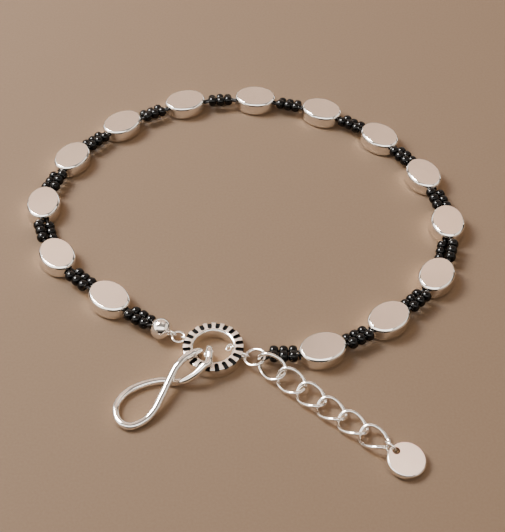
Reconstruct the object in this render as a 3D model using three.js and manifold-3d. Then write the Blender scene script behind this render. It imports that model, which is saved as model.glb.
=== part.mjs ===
// Payal anklet lying closed on a surface, in millimetres, +Z up.
// Two black strands of seed beads run through flat oval silver beads. The strand starts at a round end
// bead and ends in a thread loop. A notched ring, two jump rings and a figure-eight hook close it, and
// a short curb chain ends in a round tag.
import * as THREE from 'three';
import { mergeVertices } from 'three/addons/utils/BufferGeometryUtils.js';
import Module from 'manifold-3d';

const wasm = await Module();
wasm.setup();

// Driving sizes, in millimetres and degrees.
const clearance = 0.15;
const extraPlay = 0.05;
const bentLoopPlay = 0.08;
const floorPlay = 0.02;

const ovalCount = 14;
const ovalLength = 9.5;
const ovalWidth = 7.2;
const ovalThickness = 3.3;
const ovalBevel = 0.35;
const ovalSides = 16;
const ovalHoleDiameter = 1.6;

const seedDiameter = 2.35;
const seedLength = 1.8;
const seedsPerStrand = 3;
const seedGap = 0.06;
const clusterRoll = 30;
const seedSides = 10;
const seedWaistShare = 0.5;
const seedCrownShare = 0.36;

const threadDiameter = 0.5;

const endBeadDiameter = 4.4;
const endBeadLoopHeight = 1.6;
const endBeadSides = 12;
const endBeadBands = 9;
const solderedLoopWire = 0.5;

const ringOuterDiameter = 11.9;
const ringHoleDiameter = 7.7;
const ringHeight = 2.6;
const ringBevel = 0.25;
const ringSides = 40;
const notchCount = 20;
const notchWidth = 0.84;
const notchLength = 1.58;
const notchDepth = 0.45;
const curlDiameter = 2.0;
const curlAngle = 5;
const curlRise = 0.2;
const curlSunkShare = 0.8;
const curlLean = { sideways: -0.6, round: -0.2, up: 0.8 };

const leftJumpDiameter = 2.95;
const leftJumpWire = 0.5;
const leftJumpAngle = 156;
const rightJumpDiameter = 4.65;
const rightJumpWire = 0.65;
const rightJumpAngle = -15;
const rightJumpLift = 0.42;
const rightJumpRoll = 0.06;
const jumpSides = 16;
const loopSides = 10;
const holeSides = 8;

const hookWire = 1.45;
const hookLength = 17.7;
const hookSteps = 56;
const hookSides = 8;

const linkCount = 6;
const linkLength = 6.65;
const linkWidth = 5.1;
const linkWire = 0.75;
const linkTwist = 0.74;
const linkSlack = 0.25;
const linkSteps = 16;
const chainAngle = -40;
const wireSides = 6;

const tagDiameter = 7.3;
const tagThickness = 1.3;
const tagBevel = 0.25;
const tagHoleDiameter = 1.5;
const tagRim = 0.5;
const tagSides = 28;
const tagHoleSides = 12;
const tagJumpDiameter = 3.0;
const tagJumpWire = 0.5;

// The strand's way round, chosen by eye: x and y from the notched ring's centre. The list is scaled as
// a whole until the strand has the length of its beads.
const strandRoute = [
  [-21.0, 12.4], [-33.0, 24.3], [-37.4, 39.5], [-32.6, 53.9], [-22.2, 65.2], [-8.0, 72.8], [8.4, 74.1],
  [24.0, 69.5], [36.7, 60.4], [45.4, 47.9], [49.0, 33.2], [45.0, 18.2], [34.1, 6.8], [20.8, -0.6],
];

// Play left on the thread at each cluster of seed beads, half of it at either end.
const clusterPlay = [0.6, 1.1, 0.6, 0.2, 0.1, 0.9, 1.3, 0.8, 0.4, 0, 0, 0.3, 0.2, 0, 0];

const silverSatin = { color: 0xd6cbc1, metalness: 1, roughness: 0.35 };
const silverPolished = { color: 0xe8e2dc, metalness: 1, roughness: 0.15 };
const blackGlass = { color: 0x0b0b0c, metalness: 0, roughness: 0.1 };

const radians = THREE.MathUtils.degToRad;

// Sizes that follow from the driving sizes.
const ringRadius = ringOuterDiameter / 2;
const ringHoleRadius = ringHoleDiameter / 2;
const clusterLength = seedsPerStrand * seedLength + (seedsPerStrand - 1) * seedGap;
const rowOffset = seedDiameter / 2 + seedGap / 2;
const rowAside = rowOffset * Math.cos(radians(clusterRoll));
const rowRise = rowOffset * Math.sin(radians(clusterRoll));
const seedHeight = seedDiameter / 2 + floorPlay + rowRise;
const endGap = clearance + extraPlay;
const threadRadius = threadDiameter / 2;
const twinThreadRadius = 0.8 * threadDiameter;
const threadLoopRadius = rightJumpWire / 2 + clearance + threadRadius + bentLoopPlay;
const hookRadius = hookWire / 2;

function polar(angle, radius, z = 0) {
  return new THREE.Vector3(radius * Math.cos(radians(angle)), radius * Math.sin(radians(angle)), z);
}

// A closed three.js geometry as a solid that can be joined and cut.
function solid(geometry) {
  const bare = geometry.index ? geometry.toNonIndexed() : geometry.clone();
  bare.deleteAttribute('normal');
  bare.deleteAttribute('uv');
  const merged = mergeVertices(bare, 1e-4);
  return new wasm.Manifold(new wasm.Mesh({
    numProp: 3,
    vertProperties: new Float32Array(merged.attributes.position.array),
    triVerts: new Uint32Array(merged.index.array),
  }));
}

function joined(solids) {
  return solids.reduce((whole, next) => whole.add(next));
}

const anklet = new THREE.Group();

function addPiece(name, body, finish) {
  const mesh = body.getMesh();
  const geometry = new THREE.BufferGeometry();
  geometry.setAttribute('position', new THREE.BufferAttribute(mesh.vertProperties, 3));
  geometry.setIndex(new THREE.BufferAttribute(mesh.triVerts, 1));
  geometry.computeVertexNormals();
  const piece = new THREE.Mesh(geometry, new THREE.MeshStandardMaterial(finish));
  piece.name = name;
  anklet.add(piece);
  return piece;
}

// A regular polygon whose corners lie on a circle, as an outline to extrude.
function polygon(radius, sides) {
  const shape = new THREE.Shape();
  for (let i = 0; i < sides; i += 1) {
    const a = (i / sides) * 2 * Math.PI;
    if (i === 0) {
      shape.moveTo(radius * Math.cos(a), radius * Math.sin(a));
    } else {
      shape.lineTo(radius * Math.cos(a), radius * Math.sin(a));
    }
  }
  shape.closePath();
  return shape;
}

// Turns a geometry made along Y to the given direction, with its middle at the given centre.
function laid(geometry, centre, direction) {
  geometry.applyQuaternion(new THREE.Quaternion().setFromUnitVectors(new THREE.Vector3(0, 1, 0), direction));
  geometry.translate(centre.x, centre.y, centre.z);
  return geometry;
}

// A straight round bar between two points.
function rod(from, to, radius, sides) {
  const line = to.clone().sub(from);
  const bar = new THREE.CylinderGeometry(radius, radius, line.length(), sides);
  return laid(bar, from.clone().lerp(to, 0.5), line.normalize());
}

// A bar with a slight bend, through the given points.
function bentRod(points, radius) {
  const path = new THREE.CatmullRomCurve3(points, false, 'centripetal');
  const section = polygon(radius, wireSides);
  return new THREE.ExtrudeGeometry(section, { extrudePath: path, steps: 3, bevelEnabled: false });
}

// A wire ring round the given normal.
function wireRing(centre, normal, ringMiddleRadius, wireRadius, sides) {
  const ring = new THREE.TorusGeometry(ringMiddleRadius, wireRadius, wireSides, sides);
  const up = new THREE.Vector3(0, 0, 1);
  ring.applyQuaternion(new THREE.Quaternion().setFromUnitVectors(up, normal.clone().normalize()));
  ring.translate(centre.x, centre.y, centre.z);
  return ring;
}

// A soldered upright loop on a wall: its wire ring stands in the plane of the outward direction and Z,
// and leaves room for the given wire between itself and the wall.
function wallLoop(angle, wallPoint, heldWire) {
  const wireRadius = solderedLoopWire / 2;
  const middleRadius = heldWire / 2 + clearance + wireRadius + bentLoopPlay;
  const reach = heldWire + 2 * clearance - (middleRadius - wireRadius);
  const centre = wallPoint.clone().add(polar(angle, reach));
  return wireRing(centre, polar(angle + 90, 1), middleRadius, wireRadius, loopSides);
}

// The notched ring, centred on the origin.
function notchedRing() {
  const low = 0;
  const high = ringHeight;
  const profile = [
    [ringHoleRadius + ringBevel, low], [ringRadius - ringBevel, low], [ringRadius, low + ringBevel],
    [ringRadius, high - ringBevel], [ringRadius - ringBevel, high], [ringHoleRadius + ringBevel, high],
    [ringHoleRadius, high - ringBevel], [ringHoleRadius, low + ringBevel],
    [ringHoleRadius + ringBevel, low],
  ].map(([r, z]) => new THREE.Vector2(r, z));
  const band = new THREE.LatheGeometry(profile, ringSides);
  band.rotateX(Math.PI / 2);

  const slot = new THREE.Shape();
  slot.moveTo(notchWidth / 2, 0);
  slot.lineTo(notchWidth / 2, notchLength);
  slot.lineTo(-notchWidth / 2, notchLength);
  slot.lineTo(-notchWidth / 2, 0);
  slot.lineTo(-notchWidth / 5, -notchWidth / 3);
  slot.lineTo(notchWidth / 5, -notchWidth / 3);
  slot.closePath();
  let body = solid(band);
  for (let i = 0; i < notchCount; i += 1) {
    const angle = ((i + 0.5) / notchCount) * 360;
    const cutter = new THREE.ExtrudeGeometry(slot, { depth: 2 * notchDepth, bevelEnabled: false });
    cutter.translate(0, ringRadius - notchLength + notchWidth / 3, ringHeight - notchDepth);
    cutter.rotateZ(radians(angle - 90));
    body = body.subtract(solid(cutter));
  }
  const middle = ringHeight / 2;
  const leftLoop = wallLoop(leftJumpAngle, polar(leftJumpAngle, ringRadius, middle), leftJumpWire);
  const rightLoop = wallLoop(rightJumpAngle, polar(rightJumpAngle, ringRadius, middle), rightJumpWire);
  const curlRadius = curlDiameter / 2 - solderedLoopWire / 2;
  const curlCentre = polar(curlAngle, ringHoleRadius - curlRadius * curlSunkShare, middle + curlRise);
  const curlNormal = new THREE.Vector3(curlLean.sideways, curlLean.round, curlLean.up);
  const curl = wireRing(curlCentre, curlNormal, curlRadius, solderedLoopWire / 2, loopSides);
  return joined([body, solid(leftLoop), solid(rightLoop), solid(curl)]);
}

// Jump ring between the notched ring's left loop and the end bead's loop, tilted between their heights.
const leftJumpRadius = (leftJumpDiameter - leftJumpWire) / 2;
const leftJumpRise = endBeadLoopHeight - ringHeight / 2;
const leftJumpReach = Math.sqrt(leftJumpRadius ** 2 - (leftJumpRise / 2) ** 2);
const leftJumpInner = ringRadius + clearance + leftJumpWire / 2;
const leftJumpCentre = polar(leftJumpAngle, leftJumpInner + leftJumpReach, ringHeight / 2 + leftJumpRise / 2);

function leftJumpRing() {
  const along = polar(leftJumpAngle, leftJumpReach, leftJumpRise / 2).normalize();
  const across = polar(leftJumpAngle + 90, 1);
  const normal = new THREE.Vector3().crossVectors(along, across);
  return wireRing(leftJumpCentre, normal, leftJumpRadius, leftJumpWire / 2, jumpSides);
}

// The end bead rests on the surface. Its loop is soldered a little below its middle.
const endBeadRadius = endBeadDiameter / 2;
const loopSink = endBeadRadius - endBeadLoopHeight;
const loopWall = Math.sqrt(endBeadRadius ** 2 - loopSink ** 2);
const endBeadDistance = leftJumpInner + 2 * leftJumpReach + leftJumpWire / 2 + clearance + loopWall;
const endBeadCentre = polar(leftJumpAngle, endBeadDistance, endBeadRadius);

function endBead() {
  const firstSeeds = clusterPlace(0);
  const firstSeed = offset(firstSeeds, seedLength / 2 - clusterLength / 2, 0);
  const threadDirection = firstSeed.sub(endBeadCentre).normalize();
  const ball = new THREE.SphereGeometry(endBeadRadius, endBeadSides, endBeadBands);
  ball.rotateX(Math.PI / 2);
  ball.translate(endBeadCentre.x, endBeadCentre.y, endBeadCentre.z);
  const wallPoint = polar(leftJumpAngle, endBeadDistance - loopWall, endBeadLoopHeight);
  const loop = wallLoop(leftJumpAngle + 180, wallPoint, leftJumpWire);
  const outside = endBeadCentre.clone().addScaledVector(threadDirection, 2 * endBeadRadius);
  const hole = rod(endBeadCentre, outside, ovalHoleDiameter / 2, holeSides);
  return joined([solid(ball), solid(loop)]).subtract(solid(hole));
}

// Jump ring that joins the notched ring's right loop, the strand's end and the chain.
const rightJumpRadius = (rightJumpDiameter - rightJumpWire) / 2;
const rightJumpReach = Math.sqrt(rightJumpRadius ** 2 - rightJumpLift ** 2);
const rightJumpInner = ringRadius + clearance + rightJumpWire / 2;
const rightJumpHeight = ringHeight / 2 + rightJumpLift;
const rightJumpCentre = polar(rightJumpAngle, rightJumpInner + rightJumpReach, rightJumpHeight);

function rightJumpFrame() {
  const along = polar(rightJumpAngle, rightJumpReach, rightJumpLift);
  const across = polar(rightJumpAngle + 90, 1, rightJumpRoll);
  return { along: along.normalize(), across: across.normalize() };
}

function rightJumpPoint(angle) {
  const { along, across } = rightJumpFrame();
  const turn = radians(angle - rightJumpAngle);
  return rightJumpCentre.clone()
    .add(along.multiplyScalar(rightJumpRadius * Math.cos(turn)))
    .add(across.multiplyScalar(rightJumpRadius * Math.sin(turn)));
}

function rightJumpRing() {
  const { along, across } = rightJumpFrame();
  const normal = new THREE.Vector3().crossVectors(along, across);
  return wireRing(rightJumpCentre, normal, rightJumpRadius, rightJumpWire / 2, jumpSides);
}

// The strand: its length is that of the beads on it, from the end bead's middle to the thread loop.
const strandEndAngle = 22;
const strandEnd = rightJumpPoint(strandEndAngle);
const endThread = threadLoopRadius + clearance;
const clusterPitch = clusterLength + ovalLength + 2 * endGap;
const strandLength = clusterStart(ovalCount) + clusterLength + endThread;

function routeCurve(scale) {
  const points = [
    new THREE.Vector3(endBeadCentre.x, endBeadCentre.y, 0),
    ...strandRoute.map(([x, y]) => new THREE.Vector3(x * scale, y * scale, 0)),
    new THREE.Vector3(strandEnd.x, strandEnd.y, 0),
  ];
  const curve = new THREE.CatmullRomCurve3(points, false, 'centripetal');
  curve.arcLengthDivisions = 600;
  return curve;
}

function fittedRoute() {
  let low = 0.5;
  let high = 2;
  for (let i = 0; i < 40; i += 1) {
    const middle = (low + high) / 2;
    if (routeCurve(middle).getLength() < strandLength) {
      low = middle;
    } else {
      high = middle;
    }
  }
  return routeCurve(low);
}

const route = fittedRoute();

// A place on the strand: its point at a height, its direction and its sideways direction.
function placeAt(distance, height) {
  const share = distance / strandLength;
  const point = route.getPointAt(share).setZ(height);
  const along = route.getTangentAt(share);
  const aside = new THREE.Vector3(-along.y, along.x, 0);
  return { point, along, aside };
}

function offset(place, forward, sideways) {
  return place.point.clone()
    .addScaledVector(place.along, forward)
    .addScaledVector(place.aside, sideways);
}

// Where a cluster's first bead begins: after the clusters and ovals before it, with all their play.
function clusterStart(index) {
  const playBefore = clusterPlay.slice(0, index).reduce((sum, play) => sum + play, 0);
  return endBeadRadius + clearance + index * clusterPitch + playBefore + clusterPlay[index] / 2;
}

function clusterPlace(index) {
  return placeAt(clusterStart(index) + clusterLength / 2, seedHeight);
}

function ovalPlace(index) {
  const play = clusterPlay[index] / 2;
  const distance = clusterStart(index) + clusterLength + play + endGap + ovalLength / 2;
  return placeAt(distance, ovalThickness / 2);
}

function ovalBead(place) {
  const shape = new THREE.Shape();
  for (let i = 0; i < ovalSides; i += 1) {
    const a = (i / ovalSides) * 2 * Math.PI;
    const x = (ovalLength / 2) * Math.cos(a);
    const y = (ovalWidth / 2) * Math.sin(a);
    if (i === 0) {
      shape.moveTo(x, y);
    } else {
      shape.lineTo(x, y);
    }
  }
  shape.closePath();
  const tablet = new THREE.ExtrudeGeometry(shape, {
    depth: ovalThickness - 2 * ovalBevel,
    bevelEnabled: true,
    bevelThickness: ovalBevel,
    bevelSize: ovalBevel,
    bevelOffset: -ovalBevel,
    bevelSegments: 1,
  });
  tablet.translate(0, 0, ovalBevel);
  const drillLength = 2 * ovalLength;
  const hole = new THREE.CylinderGeometry(ovalHoleDiameter / 2, ovalHoleDiameter / 2, drillLength, holeSides);
  hole.rotateZ(Math.PI / 2);
  hole.translate(0, 0, ovalThickness / 2);
  const turn = Math.atan2(place.along.y, place.along.x);
  return solid(tablet).subtract(solid(hole))
    .rotate([0, 0, THREE.MathUtils.radToDeg(turn)])
    .translate([place.point.x, place.point.y, 0]);
}

// One strand's glass seed beads in a straight row along Y, each meeting the next at a narrow waist.
function seedRow() {
  const full = seedDiameter / 2;
  const waist = seedWaistShare * full;
  const crown = (seedCrownShare * seedLength) / 2;
  const pitch = seedLength + seedGap;
  const profile = [new THREE.Vector2(0, -clusterLength / 2), new THREE.Vector2(waist, -clusterLength / 2)];
  for (let i = 0; i < seedsPerStrand; i += 1) {
    const middle = (i - (seedsPerStrand - 1) / 2) * pitch;
    const end = i < seedsPerStrand - 1 ? middle + pitch / 2 : clusterLength / 2;
    profile.push(new THREE.Vector2(full, middle - crown));
    profile.push(new THREE.Vector2(full, middle + crown));
    profile.push(new THREE.Vector2(waist, end));
  }
  profile.push(new THREE.Vector2(0, clusterLength / 2));
  return new THREE.LatheGeometry(profile, seedSides);
}

// The two threads run side by side as one dark cord, from between the two rows of seed beads into the
// hole of the bead before or after them, as far as that bead's middle.
function threadStretch(place, oval, forward) {
  const between = offset(place, forward * (clusterLength / 2 - seedLength / 2), 0);
  const mouth = offset(oval, -forward * (ovalLength / 2 - clearance), 0);
  const inner = offset(oval, -forward * clearance, 0);
  return bentRod([inner, mouth, between], twinThreadRadius);
}

// Two strands of seed beads with their thread. The strand nearer the front lies a little higher.
function seedCluster(index) {
  const place = clusterPlace(index);
  const raised = place.aside.y < 0 ? 1 : -1;
  const rowMiddle = (side) => {
    const middle = offset(place, 0, side * rowAside);
    return middle.setZ(middle.z + side * raised * rowRise);
  };
  const row = (side) => solid(laid(seedRow(), rowMiddle(side), place.along));
  const parts = [row(-1), row(1)];
  const inward = clusterLength / 2 - seedLength / 2;
  if (index === 0) {
    const between = offset(place, -inward, 0);
    const knot = endBeadCentre.clone().lerp(between, clearance / endBeadRadius);
    parts.push(solid(rod(knot, between, twinThreadRadius, wireSides)));
  } else {
    parts.push(solid(threadStretch(place, ovalPlace(index - 1), -1)));
  }
  if (index === ovalCount) {
    const { point, aside } = placeAt(strandLength - threadLoopRadius, strandEnd.z);
    parts.push(solid(rod(point, offset(place, inward, 0), twinThreadRadius, wireSides)));
    parts.push(solid(wireRing(strandEnd, aside, threadLoopRadius, threadRadius, loopSides)));
  } else {
    parts.push(solid(threadStretch(place, ovalPlace(index), 1)));
  }
  return joined(parts);
}

// The hook's closed wire, from the big loop over the band, down into the hole, round a small bend and
// back over the band. Outside the ring a row gives the angle round the ring, how far out of its edge
// the wire is, as a share of the hook's length, and the height.
function figureEightHook() {
  const floor = hookRadius;
  const over = ringHeight + clearance + hookRadius;
  const cross = 3 * hookRadius + clearance;
  const outwards = [
    { angle: 229.2, out: 0.966, height: floor },
    { angle: 232.6, out: 0.819, height: 1.1 * floor },
    { angle: 233.1, out: 0.667, height: 1.7 * floor },
    { angle: 230.8, out: 0.508, height: 0.78 * cross },
    { angle: 226.0, out: 0.333, height: cross },
    { angle: 219.9, out: 0.181, height: 0.88 * over },
    { angle: 217.3, out: 0.102, height: 0.96 * over },
    { angle: 213.8, out: 0.017, height: over },
  ];
  const homewards = [
    { angle: 254.5, out: -0.017, height: over },
    { angle: 245.7, out: 0.079, height: 0.78 * over },
    { angle: 236.2, out: 0.175, height: 0.48 * over },
    { angle: 227.2, out: 0.237, height: 1.1 * floor },
    { angle: 217.8, out: 0.311, height: floor },
    { angle: 212.8, out: 0.429, height: floor },
    { angle: 210.8, out: 0.565, height: floor },
    { angle: 210.9, out: 0.706, height: floor },
    { angle: 213.5, out: 0.847, height: floor },
    { angle: 217.6, out: 0.944, height: floor },
    { angle: 223.7, out: 1, height: floor },
  ];
  const beyond = ({ angle, out, height }) => polar(angle, ringRadius + out * hookLength, height);

  // Inside the ring's edge: over the band at two places, and a narrow bend down in the hole.
  const bandMiddle = (ringRadius + ringHoleRadius) / 2;
  const bend = hookRadius + clearance + extraPlay;
  const inHole = ringHoleRadius - hookRadius - clearance;
  const legIn = polar(214.8, inHole, floor + bend);
  const legOut = polar(209, inHole - 2 * bend, floor + bend);
  const bendPoint = (share, depth) => legIn.clone().lerp(legOut, share).setZ(floor + bend * (1 - depth));
  const inside = [
    polar(213.7, bandMiddle, over),
    polar(214.4, ringHoleRadius, over),
    polar(214.8, inHole, over - 0.75 * hookRadius),
    legIn,
    bendPoint(0.15, 0.7),
    bendPoint(0.5, 1),
    bendPoint(0.85, 0.7),
    legOut,
    legOut.clone().add(polar(296, 0.38 * hookRadius, 1.4 * hookRadius)),
    polar(246, 0.44 * ringHoleRadius, over),
    polar(256, 0.675 * ringHoleRadius, over + clearance),
    polar(260.4, ringHoleRadius, over),
    polar(260.2, bandMiddle, over),
  ];
  const points = [...outwards.map(beyond), ...inside, ...homewards.map(beyond)];
  const path = new THREE.CatmullRomCurve3(points, true, 'centripetal');
  return solid(new THREE.TubeGeometry(path, hookSteps, hookRadius, hookSides, true));
}

// A curb link's middle line: an oval whose sides are twisted up and down.
class LinkCurve extends THREE.Curve {
  getPoint(t, target = new THREE.Vector3()) {
    const a = t * 2 * Math.PI;
    const halfLength = (linkLength - linkWire) / 2;
    const halfWidth = (linkWidth - linkWire) / 2;
    return target.set(halfLength * Math.cos(a), halfWidth * Math.sin(a), -linkTwist * Math.sin(2 * a));
  }
}

// How each link lies: roll about the chain's line, nose down at its far end, and how far its middle is
// above where a flat link's would be. The first links lean on the last seed beads.
const linkRest = linkTwist + linkWire / 2 + floorPlay;
const linkPoses = [
  { roll: 40, nose: 6.5, lift: 0.96 },
  { roll: 22, nose: 4, lift: 0.5 },
  { roll: 8, nose: 2, lift: 0.16 },
];
const flatPose = { roll: 0, nose: 0, lift: 0 };
const lastPose = { roll: 0, nose: -4, lift: 0.15 };

const linkPitch = linkLength - 2 * linkWire - linkSlack;
const linkReach = (linkLength - linkWire) / 2;
const firstLinkDistance = rightJumpRadius - (rightJumpWire + linkWire) / 2 - linkSlack + linkReach;

function linkPose(index) {
  if (index === linkCount - 1) {
    return lastPose;
  }
  return linkPoses[index] ?? flatPose;
}

function linkCentre(index) {
  const start = new THREE.Vector3(rightJumpCentre.x, rightJumpCentre.y, 0);
  const distance = firstLinkDistance + index * linkPitch;
  return start.add(polar(chainAngle, distance, linkRest + linkPose(index).lift));
}

function chainLink(index) {
  const { roll, nose } = linkPose(index);
  const link = new THREE.TubeGeometry(new LinkCurve(), linkSteps, linkWire / 2, wireSides, true);
  link.rotateX(radians(roll));
  link.rotateY(radians(nose));
  link.rotateZ(radians(chainAngle));
  const centre = linkCentre(index);
  link.translate(centre.x, centre.y, centre.z);
  return solid(link);
}

// The tag's jump ring stands upright, under and over the tag's rim and round the last link's end.
const tagJumpRadius = (tagJumpDiameter - tagJumpWire) / 2;
const tagRadius = tagDiameter / 2;
const lastLink = linkCentre(linkCount - 1);
const tagJumpAhead = linkReach + tagJumpRadius - (tagJumpWire + linkWire) / 2 - clearance - extraPlay;
const tagJumpHeight = tagJumpDiameter / 2 + floorPlay;
const tagJumpCentre = lastLink.clone().add(polar(chainAngle, tagJumpAhead)).setZ(tagJumpHeight);
const tagTilt = THREE.MathUtils.radToDeg(Math.asin((tagJumpWire + 2 * clearance) / (tagDiameter - tagRim)));

function tagJumpRing() {
  return wireRing(tagJumpCentre, polar(chainAngle + 90, 1), tagJumpRadius, tagJumpWire / 2, jumpSides);
}

function tagDisc() {
  const outline = polygon(tagRadius, tagSides);
  const holeCentre = -(tagRadius - tagRim - tagHoleDiameter / 2);
  const disc = solid(new THREE.ExtrudeGeometry(outline, {
    depth: tagThickness - 2 * tagBevel,
    bevelEnabled: true,
    bevelThickness: tagBevel,
    bevelSize: tagBevel,
    bevelOffset: -tagBevel,
    bevelSegments: 1,
  }));
  const drill = new THREE.CylinderGeometry(
    tagHoleDiameter / 2, tagHoleDiameter / 2, 3 * tagThickness, tagHoleSides,
  );
  drill.rotateX(Math.PI / 2);
  drill.translate(holeCentre, 0, tagThickness / 2);
  const tag = disc.subtract(solid(drill));
  const ahead = tagJumpRadius - holeCentre;
  const lowest = tagRadius * Math.sin(radians(tagTilt)) + tagBevel + floorPlay;
  const centre = tagJumpCentre.clone().add(polar(chainAngle, ahead)).setZ(lowest);
  return tag.rotate([0, tagTilt, 0]).rotate([0, 0, chainAngle]).translate([centre.x, centre.y, centre.z]);
}

const twoDigits = (number) => String(number).padStart(2, '0');

for (let i = 0; i < ovalCount; i += 1) {
  addPiece(`oval_bead_${twoDigits(i + 1)}`, ovalBead(ovalPlace(i)), silverSatin);
}
for (let i = 0; i <= ovalCount; i += 1) {
  addPiece(`seed_cluster_${twoDigits(i + 1)}`, seedCluster(i), blackGlass);
}
addPiece('round_bead', endBead(), silverPolished);
addPiece('jump_ring_left', solid(leftJumpRing()), silverPolished);
addPiece('notched_ring', notchedRing(), silverPolished);
addPiece('figure_eight_hook', figureEightHook(), silverPolished);
addPiece('jump_ring_right', solid(rightJumpRing()), silverPolished);
for (let i = 0; i < linkCount; i += 1) {
  addPiece(`chain_link_${i + 1}`, chainLink(i), silverPolished);
}
addPiece('tag_jump_ring', solid(tagJumpRing()), silverPolished);
addPiece('tag_disc', tagDisc(), silverSatin);

// The origin is under the middle of the whole anklet, on the surface it lies on.
const reach = new THREE.Box3().setFromObject(anklet);
const middle = reach.getCenter(new THREE.Vector3());
anklet.position.set(-middle.x, -middle.y, -reach.min.z);

export default anklet;
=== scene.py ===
"""Looks of the payal anklet: satin oval beads, black glass seed beads on two threads, polished clasp
and chain. Every piece is made here at the place of the solid that it stands for, in metres, +Z up."""

import math

import bpy
import numpy as np
from mathutils import Matrix, Vector


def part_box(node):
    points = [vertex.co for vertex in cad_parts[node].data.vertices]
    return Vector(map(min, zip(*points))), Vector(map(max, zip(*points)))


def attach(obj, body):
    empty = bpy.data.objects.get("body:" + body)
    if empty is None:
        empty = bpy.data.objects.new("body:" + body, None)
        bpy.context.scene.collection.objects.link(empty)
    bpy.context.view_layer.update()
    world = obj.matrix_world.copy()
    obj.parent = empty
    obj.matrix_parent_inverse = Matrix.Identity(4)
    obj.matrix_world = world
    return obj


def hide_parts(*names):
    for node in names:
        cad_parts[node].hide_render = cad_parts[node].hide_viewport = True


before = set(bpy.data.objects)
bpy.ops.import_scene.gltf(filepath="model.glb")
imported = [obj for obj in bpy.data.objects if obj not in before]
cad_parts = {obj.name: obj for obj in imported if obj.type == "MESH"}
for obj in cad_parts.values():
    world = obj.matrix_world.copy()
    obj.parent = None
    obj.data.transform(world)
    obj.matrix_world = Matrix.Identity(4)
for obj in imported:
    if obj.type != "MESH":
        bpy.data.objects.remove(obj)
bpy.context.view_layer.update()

MM = 0.001
UP = Vector((0, 0, 1))

# Places that differ by less than this count as the same.
TOLERANCE = 0.01 * MM

# How far up or down a face's normal points: at least this far on the flat tops and on the notches'
# floors, and at most this far on the notches' walls.
FLAT_NORMAL = 0.999
FLOOR_NORMAL = 0.99
WALL_NORMAL = 0.02

# The start of the random draws for the seed beads.
RANDOM_START = 7

# Sizes of the pieces. Angles are in degrees.
CLEARANCE = 0.15 * MM
EXTRA_PLAY = 0.05 * MM
BENT_LOOP_PLAY = 0.08 * MM

OVAL_LENGTH = 9.5 * MM
OVAL_WIDTH = 7.2 * MM
OVAL_THICKNESS = 3.3 * MM
OVAL_SHOULDER = 0.5 * MM
OVAL_HOLE = 1.5 * MM

# A bevel's parts from the wall to the face: first slope, last slope and relative length.
BEVEL_PARTS = [(90, 64, 0.15), (64, 57, 0.7), (56, 46, 0.1), (46, 34, 0.9), (34, 4, 0.2)]

SEED_DIAMETER = 2.35 * MM
SEED_LENGTH = 1.8 * MM
SEED_GAP = 0.06 * MM
SEED_HOLE = 0.62 * MM
SEED_ROUNDNESS = 0.7
SEED_SIZES = (0.95, 1.0)
SEED_TILTS = (-5, 5)
SEED_ROLLS = (-7, 1)
CLUSTER_ROLL = 30
FLOOR_PLAY = 0.02 * MM
SEEDS_PER_STRAND = 3
CLUSTER_LENGTH = SEEDS_PER_STRAND * SEED_LENGTH + (SEEDS_PER_STRAND - 1) * SEED_GAP
ROW_OFFSET = (SEED_DIAMETER + SEED_GAP) / 2
LOW_ROW_HEIGHT = SEED_DIAMETER / 2 + FLOOR_PLAY
HIGH_ROW_HEIGHT = LOW_ROW_HEIGHT + 2 * ROW_OFFSET * math.sin(math.radians(CLUSTER_ROLL))
THREAD = 0.5 * MM
THREAD_SPREAD = 0.27 * MM
THREAD_TUCK = 0.35 * SEED_LENGTH
THREAD_LAST_REACH = 0.35 * MM
THREAD_SHARE_BEFORE = 0.5
THREAD_SHARE_AFTER = 0.3

END_BEAD_DIAMETER = 4.4 * MM
END_BEAD_HOLE = 1.2 * MM
END_BEAD_LOOP_HEIGHT = 1.6 * MM
END_BEAD_SOLDER = 0.34 * MM
SOLDER_OUT = 0.02 * MM
SOLDERED_WIRE = 0.5 * MM

# How deep in an oval's bore and in the end bead the threads' ways begin and end.
OVAL_MOUTH_DEPTH = 0.6 * MM
END_BEAD_MOUTH_DEPTH = 0.4 * MM

RING_RADIUS = 5.95 * MM
RING_HOLE_RADIUS = 3.85 * MM
RING_HEIGHT = 2.6 * MM
RING_INNER_BEVEL = 0.42 * MM
RING_OUTER_BEVEL = 0.22 * MM
RING_SOLDER = 0.36 * MM
NOTCH_COUNT = 20
NOTCH_WIDTH = 0.9 * MM
NOTCH_LENGTH = 1.64 * MM
NOTCH_DEPTH = 0.45 * MM
CURL_RADIUS = 0.86 * MM
CURL_WIRE = 0.22 * MM
CURL_TURN = 500
CURL_TIGHTENING = 0.68
CURL_LIFT = 0.15 * MM
CURL_ANGLE = 5
CURL_RISE = 0.2 * MM
CURL_SUNK_SHARE = 0.8
CURL_NORMAL = Vector((-0.6, -0.2, 0.8))

LEFT_JUMP_DIAMETER = 2.95 * MM
LEFT_JUMP_WIRE = 0.5 * MM
RIGHT_JUMP_DIAMETER = 4.65 * MM
RIGHT_JUMP_WIRE = 0.65 * MM
TAG_JUMP_DIAMETER = 3.0 * MM
TAG_JUMP_WIRE = 0.5 * MM
JUMP_SLIT = 0.05 * MM

HOOK_WIRE = 1.45 * MM
HOOK_LENGTH = 17.7 * MM

LINK_LENGTH = 6.65 * MM
LINK_WIDTH = 5.1 * MM
LINK_WIRE = 0.75 * MM
LINK_TWIST = 0.74 * MM

TAG_DIAMETER = 7.3 * MM
TAG_THICKNESS = 1.3 * MM
TAG_SHOULDER = 0.3 * MM
TAG_HOLE = 1.5 * MM
TAG_RIM = 0.5 * MM

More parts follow.
